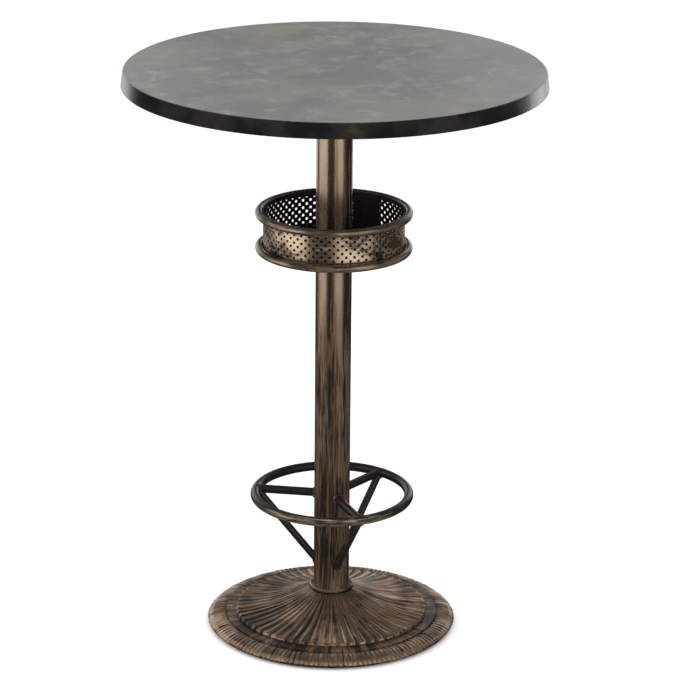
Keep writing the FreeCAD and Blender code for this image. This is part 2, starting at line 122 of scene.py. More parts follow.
class Tree:
    """A node tree with short calls for adding nodes and wiring them."""

    def __init__(self, tree):
        self.tree = tree

    def add(self, kind, feeds=None, **settings):
        node = self.tree.nodes.new(kind)
        for name, value in settings.items():
            setattr(node, name, value)
        for name, value in (feeds or {}).items():
            self.feed(node.inputs[name], value)
        return node

    def feed(self, socket, value):
        if isinstance(value, bpy.types.NodeSocket):
            self.tree.links.new(value, socket)
        else:
            socket.default_value = value

    def math(self, operation, *values, clamp=False):
        node = self.add("ShaderNodeMath", operation=operation, use_clamp=clamp)
        for index, value in enumerate(values):
            self.feed(node.inputs[index], value)
        return node.outputs[0]

    def vector(self, x=0.0, y=0.0, z=0.0):
        return self.add("ShaderNodeCombineXYZ", {"X": x, "Y": y, "Z": z}).outputs[0]

    def split(self, vector):
        node = self.add("ShaderNodeSeparateXYZ", {"Vector": vector})
        return [node.outputs[axis] for axis in "XYZ"]

    def noise(self, vector, scale, detail=2.0, roughness=0.5, w=None):
        feeds = {"Vector": vector, "Scale": scale, "Detail": detail, "Roughness": roughness}
        if w is None:
            return self.add("ShaderNodeTexNoise", feeds).outputs[0]
        node = self.add("ShaderNodeTexNoise", noise_dimensions="4D")
        for name, value in {**feeds, "W": w}.items():
            self.feed(node.inputs[name], value)
        return node.outputs[0]

    def ramp(self, value, low, high, smooth=True):
        """0 below low, 1 above high."""
        kind = "SMOOTHSTEP" if smooth else "LINEAR"
        node = self.add("ShaderNodeMapRange", interpolation_type=kind)
        for index, item in enumerate((value, low, high, 0.0, 1.0)):
            self.feed(node.inputs[index], item)
        return node.outputs[0]

    def cloud(self, vector, scale, detail, roughness, low, high, w=None):
        """Noise made into soft patches."""
        return self.ramp(self.noise(vector, scale, detail, roughness, w), low, high)

    def blend(self, factor, first, second):
        node = self.add("ShaderNodeMix", data_type="RGBA")
        self.feed(node.inputs["Factor"], factor)
        self.feed(node.inputs[6], first)
        self.feed(node.inputs[7], second)
        return node.outputs[2]

    def mix(self, factor, first, second):
        node = self.add("ShaderNodeMix", data_type="FLOAT")
        self.feed(node.inputs["Factor"], factor)
        self.feed(node.inputs[2], first)
        self.feed(node.inputs[3], second)
        return node.outputs[0]

    def product(self, *values):
        """All values multiplied, from left to right."""
        result = values[0]
        for value in values[1:]:
            result = self.math("MULTIPLY", result, value)
        return result

    def flat_length(self, x, y):
        """Distance from the Z axis."""
        return self.math("SQRT", self.math("ADD", self.product(x, x), self.product(y, y)))

    def place(self):
        """Where a point is on the object."""
        return self.add("ShaderNodeTexCoord").outputs["Object"]

    def relief(self, surface, height, strength, distance):
        """Gives a shader bump from a height."""
        bump = self.add("ShaderNodeBump", {"Strength": strength, "Distance": distance})
        self.feed(bump.inputs["Height"], height)
        self.feed(surface.inputs["Normal"], bump.outputs[0])


GEOMETRY = "NodeSocketGeometry"
MATERIAL = "NodeSocketMaterial"
VECTOR = "NodeSocketVector"
COLOUR = "NodeSocketColor"
FLOAT = "NodeSocketFloat"
WHOLE = "NodeSocketInt"


def node_group(name, kind, inputs, outputs):
    """A node group with its sockets: the group itself, calls for filling it, and what it is given."""
    tree = bpy.data.node_groups.new(name, kind)
    for title, socket_kind, value in inputs:
        made = tree.interface.new_socket(title, in_out="INPUT", socket_type=socket_kind)
        if value is not None:
            made.default_value = value
    for title, socket_kind in outputs:
        tree.interface.new_socket(title, in_out="OUTPUT", socket_type=socket_kind)
    t = Tree(tree)
    return tree, t, t.add("NodeGroupInput").outputs


def shape_group(name, inputs):
    return node_group(name, "GeometryNodeTree", inputs, [("Mesh", GEOMETRY)])


# ------------------------------------------------------------------ geometry node trees

# Noise on the flutes: changes round the axis, changes outwards per metre, and detail.
FLUTE_DRIFT = (12, 9, 2.0)
FLUTE_WRINKLES = (60, 22, 3.0)
FLUTE_NOISE_ROUGHNESS = 0.6
# The crest is what the paint reads of the flutes: so much of the flute, and so much of its wrinkles.
CREST = "crest"
CREST_OF_FLUTE = 0.8
CREST_OF_WRINKLE = 0.5
# Flutes fade out where the profile turns back to its underside.
TURNED_BACK = -0.6
TURNED_MERGE = 1e-6


def fluted_turning_tree():
    """Turns a profile curve (X out, Z up) about the Z axis, with flutes standing out of its upper side."""
    tree, t, given = shape_group("fluted_turning", (
        ("Profile", GEOMETRY, None),
        ("Around", WHOLE, 192),
        ("Closed", WHOLE, 1),
        ("Flutes", FLOAT, 0.0),
        ("Depth", FLOAT, 0.0),
        ("Start Share", FLOAT, 1.0),
        ("Steep Share", FLOAT, 0.5),
        ("Crispness", FLOAT, 1.0),
        ("Wander", FLOAT, 0.0),
        ("Unevenness", FLOAT, 0.0),
        ("Fine Depth", FLOAT, 0.0),
        ("Start Radius", FLOAT, 0.0),
        ("End Radius", FLOAT, 1.0),
        ("Material", MATERIAL, None),
    ))
    grid, turn, row = turning_grid(t, given)
    out, _, height = t.split(profile_value(t, given["Profile"], row, "GeometryNodeInputPosition"))
    slope_out, _, slope_up = t.split(profile_value(t, given["Profile"], row, "GeometryNodeInputTangent"))
    cosine, sine = t.math("COSINE", turn), t.math("SINE", turn)
    drift = ring_noise(t, cosine, sine, out, *FLUTE_DRIFT)
    wrinkle = ring_noise(t, cosine, sine, out, *FLUTE_WRINKLES)
    flute, uneven = one_flute(t, given, t.math("ADD", turn, t.product(drift, given["Wander"])))
    share = t.ramp(out, given["Start Radius"], given["End Radius"], smooth=False)
    strength = t.product(t.mix(share, given["Start Share"], 1.0), t.ramp(slope_out, TURNED_BACK, 0.0))
    rise = t.product(flute, given["Depth"], t.math("ADD", uneven, 1.0))
    rise = t.product(t.math("ADD", rise, t.product(wrinkle, given["Fine Depth"])), strength)
    crest = t.math("ADD", t.product(flute, CREST_OF_FLUTE), t.product(wrinkle, CREST_OF_WRINKLE), clamp=True)
    stored = t.add("GeometryNodeStoreNamedAttribute", {"Geometry": grid, "Name": CREST},
                   data_type="FLOAT", domain="POINT")
    t.feed(stored.inputs["Value"], crest)
    radius = t.math("SUBTRACT", out, t.product(slope_up, rise))
    level = t.math("ADD", height, t.product(slope_out, rise))
    place = t.vector(t.product(radius, cosine), t.product(radius, sine), level)
    moved = t.add("GeometryNodeSetPosition", {"Geometry": stored.outputs[0], "Position": place})
    merged = t.add("GeometryNodeMergeByDistance", {"Geometry": moved.outputs[0], "Distance": TURNED_MERGE})
    finish_tree(t, merged.outputs[0], given["Material"])
    return tree


def turning_grid(t, given):
    """A flat grid, and for each of its points the turn about the axis and the row of the profile."""
    size = t.add("GeometryNodeAttributeDomainSize", {"Geometry": given["Profile"]}, component="CURVE")
    count = size.outputs["Point Count"]
    rows = t.math("ADD", count, given["Closed"])
    columns = t.math("ADD", given["Around"], 1)
    grid = t.add("GeometryNodeMeshGrid", {
        "Size X": 1.0, "Size Y": 1.0, "Vertices X": columns, "Vertices Y": rows})
    across, up, _ = t.split(t.add("GeometryNodeInputPosition").outputs[0])
    turn = t.product(t.math("ADD", across, 0.5), TURN)
    row = t.math("ROUND", t.product(t.math("ADD", up, 0.5), t.math("SUBTRACT", rows, 1)))
    return grid.outputs["Mesh"], turn, t.math("MODULO", row, count)


def one_flute(t, given, turn):
    """How high the flute stands at a turn, from 0 to 1, and how much this flute differs from the others."""
    count_up = t.product(turn, t.math("DIVIDE", given["Flutes"], TURN))
    phase = t.math("FRACT", count_up)
    number = t.math("FLOORED_MODULO", t.math("FLOOR", count_up), given["Flutes"])
    chance = t.add("ShaderNodeTexWhiteNoise", {"W": number}, noise_dimensions="1D").outputs["Value"]
    gentle = t.math("DIVIDE", phase, t.math("SUBTRACT", 1.0, given["Steep Share"]))
    steep = t.math("DIVIDE", t.math("SUBTRACT", 1.0, phase), given["Steep Share"])
    flute = t.math("POWER", t.math("MINIMUM", gentle, steep), given["Crispness"])
    return flute, t.product(t.math("SUBTRACT", chance, 0.5), given["Unevenness"])


def profile_value(t, profile, row, field):
    """The value of a field at one point of the profile curve."""
    sample = t.add("GeometryNodeSampleIndex", {"Geometry": profile, "Index": row}, data_type="FLOAT_VECTOR")
    t.feed(sample.inputs["Value"], t.add(field).outputs[0])
    return sample.outputs[0]


def ring_noise(t, cosine, sine, out, around, outwards, detail):
    """Noise about zero that is long in the radial direction."""
    spot = t.vector(t.product(cosine, around), t.product(sine, around), t.product(out, outwards))
    return t.math("SUBTRACT", t.noise(spot, 1.0, detail, FLUTE_NOISE_ROUGHNESS), 0.5)


def finish_tree(t, geometry, finish, round_shading=True):
    """Shading, real geometry, material and output."""
    smooth = t.add("GeometryNodeSetShadeSmooth", {"Geometry": geometry, "Shade Smooth": round_shading})
    real = t.add("GeometryNodeRealizeInstances", {"Geometry": smooth.outputs[0]})
    painted = t.add("GeometryNodeSetMaterial", {"Geometry": real.outputs[0], "Material": finish})
    end = t.add("NodeGroupOutput")
    t.feed(end.inputs[0], painted.outputs[0])


BAND_MERGE = 2e-5


def perforated_band_tree():
    """Lays a pierced cell in staggered rows, adds plain edges, and wraps the sheet round the Z axis."""
    tree, t, given = shape_group("perforated_band", (
        ("Cell", GEOMETRY, None),
        ("Columns", WHOLE, HOLE_COLUMNS),
        ("Rows", WHOLE, HOLE_ROWS),
        ("Pitch", FLOAT, 0.0155),
        ("Row Pitch", FLOAT, ROW_PITCH),
        ("Radius", FLOAT, 0.13),
        ("Bottom", FLOAT, 0.0),
        ("Top", FLOAT, 0.1),
        ("Middle", FLOAT, 0.05),
        ("Material", MATERIAL, None),
    ))
    points = t.add("GeometryNodePoints", {"Count": t.product(given["Columns"], given["Rows"])})
    spot = cell_spot(t, given)
    placed = t.add("GeometryNodeSetPosition", {"Geometry": points.outputs[0], "Position": spot})
    cells = t.add("GeometryNodeInstanceOnPoints", {"Points": placed.outputs[0], "Instance": given["Cell"]})
    field = t.add("GeometryNodeRealizeInstances", {"Geometry": cells.outputs[0]})
    length = t.product(given["Columns"], given["Pitch"])
    half = t.product(given["Rows"], 0.5, given["Row Pitch"])
    join = t.add("GeometryNodeJoinGeometry")
    t.feed(join.inputs[0], field.outputs[0])
    for low, high in (
        (given["Bottom"], t.math("SUBTRACT", given["Middle"], half)),
        (t.math("ADD", given["Middle"], half), given["Top"]),
    ):
        t.feed(join.inputs[0], plain_edge(t, given, length, low, high))
    x, y, _ = t.split(t.add("GeometryNodeInputPosition").outputs[0])
    turn = t.product(t.math("DIVIDE", x, length), TURN)
    wrap = t.vector(t.product(given["Radius"], t.math("COSINE", turn)),
                    t.product(given["Radius"], t.math("SINE", turn)), y)
    wrapped = t.add("GeometryNodeSetPosition", {"Geometry": join.outputs[0], "Position": wrap})
    merged = t.add("GeometryNodeMergeByDistance", {"Geometry": wrapped.outputs[0], "Distance": BAND_MERGE})
    finish_tree(t, merged.outputs[0], given["Material"], round_shading=False)
    return tree


def cell_spot(t, given):
    """Where each cell lies on the flat sheet: every other row is half a pitch along."""
    index = t.add("GeometryNodeInputIndex").outputs[0]
    row = t.math("FLOOR", t.math("DIVIDE", t.math("ADD", index, 0.5), given["Columns"]))
    column = t.math("SUBTRACT", index, t.product(row, given["Columns"]))
    stagger = t.product(t.math("MODULO", row, 2), 0.5)
    run = t.product(t.math("ADD", column, stagger), given["Pitch"])
    middle_row = t.product(t.math("SUBTRACT", given["Rows"], 1), 0.5)
    rise = t.product(t.math("SUBTRACT", row, middle_row), given["Row Pitch"])
    return t.vector(run, t.math("ADD", rise, given["Middle"]), 0.0)


def plain_edge(t, given, length, low, high):
    """A strip without holes along the flat sheet, from one height to another."""
    steps = t.math("ADD", t.product(given["Columns"], CELL_STEPS), 1)
    edge = t.add("GeometryNodeMeshGrid", {
        "Size X": length, "Size Y": t.math("SUBTRACT", high, low), "Vertices X": steps, "Vertices Y": 2})
    middle = t.product(t.math("SUBTRACT", length, given["Pitch"]), 0.5)
    shift = t.vector(middle, t.product(t.math("ADD", low, high), 0.5), 0.0)
    return t.add("GeometryNodeSetPosition", {"Geometry": edge.outputs[0], "Offset": shift}).outputs[0]


BEAD_SIDES = 10
BEAD_LUMP_SCALE = 230.0
BEAD_LUMP_LEVEL = 0.45


def weld_bead_tree():
    """Sweeps a lumpy bead along a closed curve."""
    tree, t, given = shape_group("weld_bead", (
        ("Path", GEOMETRY, None),
        ("Radius", FLOAT, 0.002),
        ("Lumps", FLOAT, 0.0012),
        ("Material", MATERIAL, None),
    ))
    ring = t.add("GeometryNodeCurvePrimitiveCircle", {"Resolution": BEAD_SIDES, "Radius": given["Radius"]})
    swept = t.add("GeometryNodeCurveToMesh", {"Curve": given["Path"], "Profile Curve": ring.outputs[0]})
    position = t.add("GeometryNodeInputPosition").outputs[0]
    lump = t.math("SUBTRACT", t.noise(position, BEAD_LUMP_SCALE, 1.0), BEAD_LUMP_LEVEL)
    push = t.add("ShaderNodeVectorMath", {"Scale": t.product(lump, given["Lumps"])}, operation="SCALE")
    t.feed(push.inputs[0], t.add("GeometryNodeInputNormal").outputs[0])
    moved = t.add("GeometryNodeSetPosition", {"Geometry": swept.outputs[0], "Offset": push.outputs[0]})
    finish_tree(t, moved.outputs[0], given["Material"])
    return tree


# ------------------------------------------------------------------ making pieces

def add_object(name, data):
    item = bpy.data.objects.new(name, data)
    bpy.context.scene.collection.objects.link(item)
    return item


def line_curve(name, points, closed=False):
    curve = bpy.data.curves.new(name, "CURVE")
    curve.dimensions = "3D"
    spline = curve.splines.new("POLY")
    spline.points.add(len(points) - 1)
    for spot, point in zip(spline.points, points):
        spot.co = (*point, 1.0)
    spline.use_cyclic_u = closed
    return add_object(name, curve)


def shaped_mesh(item):
    """The plain mesh that an object's modifiers make."""
    bpy.context.view_layer.update()
    evaluated = item.evaluated_get(bpy.context.evaluated_depsgraph_get())
    return bpy.data.meshes.new_from_object(evaluated)


def grown(host, tree, inputs, name):
    """Runs a geometry node tree on a host object and keeps the result as a plain mesh object."""
    modifier = host.modifiers.new("shape", "NODES")
    modifier.node_group = tree
    for item in tree.interface.items_tree:
        if item.in_out == "INPUT" and item.name in inputs:
            modifier[item.identifier] = inputs[item.name]
    mesh = shaped_mesh(host)
    bpy.data.objects.remove(host)
    mesh.name = name
    return add_object(name, mesh)


def thickened(item, thickness):
    """Gives a sheet its thickness, inwards from its face."""
    solid = item.modifiers.new("sheet", "SOLIDIFY")
    solid.thickness = thickness
    solid.offset = -1.0
    mesh = shaped_mesh(item)
    item.modifiers.clear()
    item.data = mesh
    return item


def settled(item, slot, *replaced):
    """Puts a finished piece on its body."""
    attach(item, BODY)
    if replaced:
        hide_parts(*replaced)
    return item


def arc(start, end, radius, turn, count):
    """Points on the shorter arc from start to end: turn is 1 for counter-clockwise, -1 for clockwise."""
    a, b = Vector(start), Vector(end)
    chord = b - a
    side = Vector((-chord.y, chord.x)).normalized() * turn
    centre = (a + b) / 2 + side * math.sqrt(radius ** 2 - (chord.length / 2) ** 2)
    first = math.atan2(a.y - centre.y, a.x - centre.x)
    last = math.atan2(b.y - centre.y, b.x - centre.x)
    if turn > 0 and last < first:
        last += TURN
    if turn < 0 and last > first:
        last -= TURN
    angles = [first + (last - first) * step / count for step in range(count + 1)]
    return [(centre.x + radius * math.cos(angle), centre.y + radius * math.sin(angle)) for angle in angles]


def turned(name, profile, finish, closed=True, **inputs):
    """A turned piece from (radius, height) points that run outwards on its upper side."""
    host = line_curve(name + "_profile", [(out, 0.0, up) for out, up in profile], closed)
    feeds = {key.replace("_", " ").title(): value for key, value in inputs.items()}
    return grown(host, TURNING, {**feeds, "Closed": int(closed), "Material": finish}, name)


HOOP_SIDES = 24


def bar_ring(name, radius, bar, height, finish):
    """A closed hoop of round bar."""
    turns = [TURN * step / HOOP_SIDES for step in range(HOOP_SIDES)]
    points = [(radius + bar * math.cos(turn), height - bar * math.sin(turn)) for turn in turns]
    return turned(name, points, finish, around=192)


# ------------------------------------------------------------------ shader groups

# The cover of bronze is made of strokes and coarser strokes, patches, crests, and wear with painted
# highlights.
STROKE_SHARE = 0.55
STROKE_EDGE = 0.09
COARSE_SCALE = 0.22
PATCH_SCALE = 20.0
WEAR_AND_HIGHLIGHT_WEIGHT = 0.22
MOTTLE_SCALE = 260.0
MOTTLE_RELIEF = 0.08
PALE_PATCHES = (0.35, 0.7)
# Ochre stain lies in streaks of another noise.
STREAK_SCALE = 0.5
STREAK_OFFSET = 7.3
STREAKS = (0.52, 0.68)
OCHRE_STAIN = (0.19, 0.090, 0.028, 1)
PAINT_DARK = (0.010, 0.0085, 0.0075, 1)
PAINT_LIGHT = (0.024, 0.018, 0.014, 1)
# Values for bare paint and for full bronze.
BRONZE_ROUGHNESS = (0.30, 0.27)
BRONZE_METALLIC = (0.3, 1.0)
STROKE_ROUGHNESS = 0.3
LEAST_RADIUS = 0.001  # keeps a division safe on the axis


def brushed_bronze_group():
    """Black-brown paint with bronze dry-brushed over it in strokes.

    Across, Up and Out say how fast the strokes change per metre that way, and Around per radian.
    """
    tree, t, given = node_group("dry_brushed_bronze", "ShaderNodeTree", (
        ("Vector", VECTOR, None),
        ("Across", FLOAT, 1.0),
        ("Up", FLOAT, 1.0),
        ("Around", FLOAT, 0.0),
        ("Out", FLOAT, 0.0),
        ("Cover", FLOAT, 0.5),
        ("Patchiness", FLOAT, 0.5),
        ("Patch Rise", FLOAT, 1.0),
        ("Ochre", FLOAT, 0.0),
        ("Crest", FLOAT, 0.5),
        ("Crest Weight", FLOAT, 0.0),
        ("Wear And Highlight", FLOAT, 0.0),
        ("Dullness", FLOAT, 0.0),
        ("Bronze", COLOUR, (0.33, 0.235, 0.16, 1)),
        ("Pale Bronze", COLOUR, (0.45, 0.345, 0.25, 1)),
    ), (("Color", COLOUR), ("Roughness", FLOAT), ("Metallic", FLOAT), ("Height", FLOAT)))
    stroke_space, patch_space, outward = stroke_spaces(t, given)
    strokes = t.noise(stroke_space, 1.0, 4.0, 0.6, outward)
    coarse = t.noise(stroke_space, COARSE_SCALE, 2.0, 0.5, outward)
    patches = t.noise(patch_space, PATCH_SCALE, 3.0, 0.55)
    mottle = t.noise(given["Vector"], MOTTLE_SCALE, 3.0, 0.6)
    level = t.math("ADD", t.product(strokes, STROKE_SHARE), t.product(coarse, 1 - STROKE_SHARE))
    # The Wear input holds painted highlights as well as wear: it adds bronze and makes it paler.
    for amount, weight in (
        (t.math("SUBTRACT", patches, 0.5), given["Patchiness"]),
        (t.math("SUBTRACT", given["Crest"], 0.5), given["Crest Weight"]),
        (given["Wear And Highlight"], WEAR_AND_HIGHLIGHT_WEIGHT),
    ):
        level = t.math("ADD", level, t.product(amount, weight))
    threshold = t.math("SUBTRACT", 1.0, given["Cover"])
    bronze = t.ramp(level, t.math("SUBTRACT", threshold, STROKE_EDGE), t.math("ADD", threshold, STROKE_EDGE))
    streaks = t.noise(stroke_space, STREAK_SCALE, 3.0, 0.6, t.math("ADD", outward, STREAK_OFFSET))
    ochre = t.product(t.ramp(streaks, *STREAKS), given["Ochre"])
    paleness = t.math("ADD", t.ramp(patches, *PALE_PATCHES), given["Wear And Highlight"], clamp=True)
    metal = t.blend(paleness, given["Bronze"], given["Pale Bronze"])
    colour = t.blend(bronze, t.blend(mottle, PAINT_DARK, PAINT_LIGHT), metal)
    rough = t.math("ADD", t.mix(bronze, *BRONZE_ROUGHNESS), given["Dullness"])
    rough = t.math("ADD", rough, t.product(t.math("SUBTRACT", strokes, 0.5), STROKE_ROUGHNESS))
    height = t.math("ADD", t.product(level, 1 - MOTTLE_RELIEF), t.product(mottle, MOTTLE_RELIEF))
    t.add("NodeGroupOutput", {
        "Color": t.blend(ochre, colour, OCHRE_STAIN), "Roughness": rough,
        "Metallic": t.mix(bronze, *BRONZE_METALLIC), "Height": height})
    return tree


def stroke_spaces(t, given):
    """The spaces that strokes and patches are drawn in, and the part of the strokes that changes outwards."""
    x, y, z = t.split(given["Vector"])
    radius = t.flat_length(x, y)
    safe = t.math("MAXIMUM", radius, LEAST_RADIUS)
    flat = []
    for axis in (x, y):
        around = t.product(t.math("DIVIDE", axis, safe), given["Around"])
        flat.append(t.math("ADD", t.product(axis, given["Across"]), around))
    stroke_space = t.vector(*flat, t.product(z, given["Up"]))
    patch_space = t.vector(x, y, t.product(z, given["Patch Rise"]))
    return stroke_space, patch_space, t.product(radius, given["Out"])


def material(name):
    made = bpy.data.materials.new(name)
    made.use_nodes = True
    made.node_tree.nodes.clear()
    t = Tree(made.node_tree)
    surface = t.add("ShaderNodeBsdfPrincipled")
    end = t.add("ShaderNodeOutputMaterial")
    t.feed(end.inputs["Surface"], surface.outputs[0])
    return made, t, surface


BRONZE_RELIEF = (0.6, 0.0004)  # strength and depth of the bump


def bronze(name, along=None, stretch=1.0, fields=None, **values):
    """Antique bronze. Stretched strokes run along X after the turn. Fields are inputs that vary in place."""
    made, t, surface = material(name)
    place = t.place()
    if along:
        turned_place = t.add("ShaderNodeMapping", {"Vector": place}, vector_type="TEXTURE")
        turned_place.inputs["Rotation"].default_value = along
        turned_place.inputs["Scale"].default_value = (stretch, 1, 1)
        place = turned_place.outputs[0]
    group = t.add("ShaderNodeGroup", node_tree=BRONZE_GROUP)
    t.feed(group.inputs["Vector"], place)
    for key, value in values.items():
        t.feed(group.inputs[key.replace("_", " ").title()], value)
    for key, field in (fields or {}).items():
        t.feed(group.inputs[key], field(t, place))
    t.feed(surface.inputs["Base Color"], group.outputs["Color"])
    t.feed(surface.inputs["Roughness"], group.outputs["Roughness"])
    t.feed(surface.inputs["Metallic"], group.outputs["Metallic"])
    t.relief(surface, group.outputs["Height"], *BRONZE_RELIEF)
    return made


# Where a field starts and ends, and the input's value before and after.
COLUMN_THINS = (0.46, 0.62)  # heights
COLUMN_COVER = (0.44, 0.61)
# The band's inner face gets less bronze: painted shade inside the basket.
BAND_FACE = (BAND_RADIUS - 0.0009, BAND_RADIUS - 0.0006)
BAND_COVER_SHADED_INSIDE = (0.12, 0.54)
# The rim's shoulder gets a painted highlight with rubbed wear: more and paler bronze there.
SHOULDER_STARTS = (RIM_RADIUS - 0.0100, RIM_RADIUS - 0.0055)
SHOULDER_ENDS = (RIM_RADIUS - 0.0030, RIM_RADIUS - 0.0002)
SHOULDER_ON_CRESTS = 1.4
SHOULDER_BETWEEN = 0.2
# The foot ring's front gets a painted highlight with wear from feet.
FOOT_HIGHLIGHT_AND_WEAR = (0.05, 0.15)  # distances in front of the column's axis
FOOT_HIGHLIGHT_AND_WEAR_AMOUNT = 0.8


def distance_out(t, place):
    x, y, _ = t.split(place)
    return t.flat_length(x, y)


def crest_field(t, place):
    """The height of the flutes, stored on the piece itself."""
    return t.add("ShaderNodeAttribute", attribute_name=CREST).outputs["Fac"]


def shoulder_highlight_and_wear(t, place):
    """Painted highlight and rubbed wear along the rim's shoulder, most on the crests of its flutes."""
    out = distance_out(t, place)
    shoulder = t.product(t.ramp(out, *SHOULDER_STARTS), t.math("SUBTRACT", 1.0, t.ramp(out, *SHOULDER_ENDS)))
    on_crests = t.product(crest_field(t, place), SHOULDER_ON_CRESTS)
    return t.product(shoulder, t.math("ADD", on_crests, SHOULDER_BETWEEN))


def front_highlight_and_wear(t, place):
    """Painted highlight with wear from feet along the front of the ring, the side that faces the camera."""
    return t.product(t.ramp(t.product(t.split(place)[1], -1.0), *FOOT_HIGHLIGHT_AND_WEAR), FOOT_HIGHLIGHT_AND_WEAR_AMOUNT)


def column_cover(t, place):
    """Bronze lies thinner low down."""
    return t.mix(t.ramp(t.split(place)[2], *COLUMN_THINS), *COLUMN_COVER)


def band_cover_shaded_inside(t, place):
    """The band is bronze outside and darker inside: painted shade on its inner face."""
    return t.mix(t.ramp(distance_out(t, place), *BAND_FACE), *BAND_COVER_SHADED_INSIDE)


# The slate face: base tones, and what lies over them.
SLATE_DARK = (0.183, 0.187, 0.184, 1)
SLATE_LIGHT = (0.222, 0.225, 0.201, 1)
SLATE_VEIL = (0.295, 0.297, 0.265, 1)
SLATE_VEIN = (0.37, 0.37, 0.33, 1)
SLATE_OCHRE = (0.262, 0.230, 0.178, 1)
SLATE_GRAIN = (0.12, 0.124, 0.120, 1)
VEIL_AMOUNT = 0.62
VEIN_AMOUNT = 0.35
OCHRE_AMOUNT = 0.5
GRAIN_AMOUNT = 0.25
# The slate rim.
EDGE_DARK = (0.006, 0.006, 0.006, 1)
EDGE_LIGHT = (0.019, 0.017, 0.014, 1)
EDGE_RUST = (0.070, 0.030, 0.014, 1)
RUST_AMOUNT = 0.7
EDGE_LINE = (TOP_HIGH.z - 0.0022, TOP_HIGH.z - 0.0008)  # heights between which rim turns to face
FACE_ROUGHNESS = (0.36, 0.54)
EDGE_ROUGHNESS = (0.20, 0.32)
# Noise on the slate: scale, detail and roughness; then where patches start and end, and which noise.
GRAIN = (170.0, 4.0, 0.65)
CLOUDS = (6.0, 4.0, 0.55, 0.38, 0.62)
VEILS = (24.0, 5.0, 0.64, 0.50, 0.70)
VEIN_WAVE = (8.0, 2.0, 0.5, 3.1)
VEIN_CREST = (0.955, 0.995)
VEIN_PLACES = (13.0, 2.0, 0.5, 0.54, 0.66, 8.4)
OCHRES = (7.0, 3.0, 0.5, 0.58, 0.68, 5.7)
EDGE_TONES = (9.0, 3.0, 0.6, 0.42, 0.60)
RUSTS = (19.0, 4.0, 0.6, 0.62, 0.72, 1.3)
STIR = {"Scale": 9.0, "Detail": 3.0}
STIR_REACH = 0.05
SLATE_RELIEF = (0.25, 0.0004)


def slate(name):
    """Moulded board with a cloudy slate face and a darker, rust-spotted rim."""
    made, t, surface = material(name)
    place = t.place()
    grain = t.noise(place, *GRAIN)
    below = t.math("SUBTRACT", 1.0, t.ramp(t.split(place)[2], *EDGE_LINE))
    t.feed(surface.inputs["Base Color"], t.blend(below, slate_face(t, place, grain), slate_edge(t, place)))
    rough = t.mix(below, t.mix(grain, *FACE_ROUGHNESS), t.mix(grain, *EDGE_ROUGHNESS))
    t.feed(surface.inputs["Roughness"], rough)
    t.relief(surface, grain, *SLATE_RELIEF)
    return made


def stirred(t, place):
    """Each place moved a little by noise, so that what is drawn there has torn edges."""
    stir = t.add("ShaderNodeTexNoise", {"Vector": place, **STIR}).outputs["Color"]
    shift = t.add("ShaderNodeVectorMath", {"Scale": STIR_REACH}, operation="SCALE")
    t.feed(shift.inputs[0], stir)
    moved = t.add("ShaderNodeVectorMath", operation="ADD")
    t.feed(moved.inputs[0], place)
    t.feed(moved.inputs[1], shift.outputs[0])
    return moved.outputs[0]


def slate_face(t, place, grain):
    spot = stirred(t, place)
    face = t.blend(t.cloud(spot, *CLOUDS), SLATE_DARK, SLATE_LIGHT)
    face = t.blend(t.product(t.cloud(spot, *VEILS), VEIL_AMOUNT), face, SLATE_VEIL)
    wave = t.noise(spot, *VEIN_WAVE)
    crest = t.math("SUBTRACT", 1.0, t.math("ABSOLUTE", t.math("SUBTRACT", t.product(wave, 2), 1)))
    vein = t.product(t.ramp(crest, *VEIN_CREST), t.cloud(place, *VEIN_PLACES), VEIN_AMOUNT)
    face = t.blend(vein, face, SLATE_VEIN)
    face = t.blend(t.product(t.cloud(spot, *OCHRES), OCHRE_AMOUNT), face, SLATE_OCHRE)
    return t.blend(t.product(grain, GRAIN_AMOUNT), face, SLATE_GRAIN)


def slate_edge(t, place):
    edge = t.blend(t.cloud(place, *EDGE_TONES), EDGE_DARK, EDGE_LIGHT)
    return t.blend(t.product(t.cloud(place, *RUSTS), RUST_AMOUNT), edge, EDGE_RUST)


PLAIN_RELIEF = (0.3, 0.0002)
PLAIN_GRAIN = (4.0, 0.6)  # detail and roughness of the noise
SMOOTHER = 0.08
ROUGHER = 0.1


def plain_metal(name, dark, light, rough, metallic, scale=180.0):
    """A worn metal or paint whose tone and gloss vary finely."""
    made, t, surface = material(name)
    grain = t.noise(t.place(), scale, *PLAIN_GRAIN)
    t.feed(surface.inputs["Base Color"], t.blend(grain, (*dark, 1), (*light, 1)))
    t.feed(surface.inputs["Roughness"], t.mix(grain, rough - SMOOTHER, rough + ROUGHER))
    surface.inputs["Metallic"].default_value = metallic
    t.relief(surface, grain, *PLAIN_RELIEF)
    return made


# ------------------------------------------------------------------ stage, light and camera

CAMERA_DISTANCE = 5.325
CAMERA_HEIGHT = 2.369
CAMERA_TILT = 0.3302
CAMERA_YAW = 0.0059
CAMERA_ROLL = 0.0098
LENS = 155.9
SENSOR_WIDTH = 36.0
VIEW_REACH = 50.0


